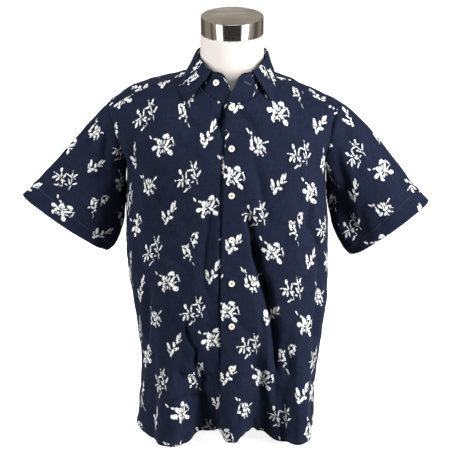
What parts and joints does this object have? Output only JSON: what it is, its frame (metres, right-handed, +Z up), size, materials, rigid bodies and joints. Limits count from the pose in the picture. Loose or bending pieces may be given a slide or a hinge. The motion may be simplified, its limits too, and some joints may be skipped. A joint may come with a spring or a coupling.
{
  "type": "short-sleeved button-front shirt on a torso dress form",
  "caption": "Short-sleeved shirt with a turned-down collar and a buttoned front, open at the neck, worn by a limbless torso dress form that stands on its flat base.",
  "frame": {"origin": "middle of the whole part's base, on the surface that the dress form stands on", "axes": "+Z up; the shirt's front faces -Y; +X is the wearer's left"},
  "size_m": [0.7786, 0.2748, 0.8364],
  "materials": {
    "cloth": "matt navy cotton with a slub weave and a small white printed flower pattern",
    "collar_cloth": "the same cloth, stiffened",
    "button": "cream, softly polished",
    "form": "smooth warm white",
    "cap": "mirror polish"
  },
  "bodies": {
    "root": {"left_front": "cloth", "right_front": "cloth", "back": "cloth", "yoke": "cloth", "left_sleeve": "cloth", "right_sleeve": "cloth", "collar_stand": "collar_cloth", "collar": "collar_cloth", "button_1": "button", "button_2": "button", "button_3": "button", "button_4": "button", "button_5": "button", "button_6": "button", "button_7": "button", "stand_button": "button", "dress_form": "form", "neck_cap": "cap"}
  },
  "joints": []
}
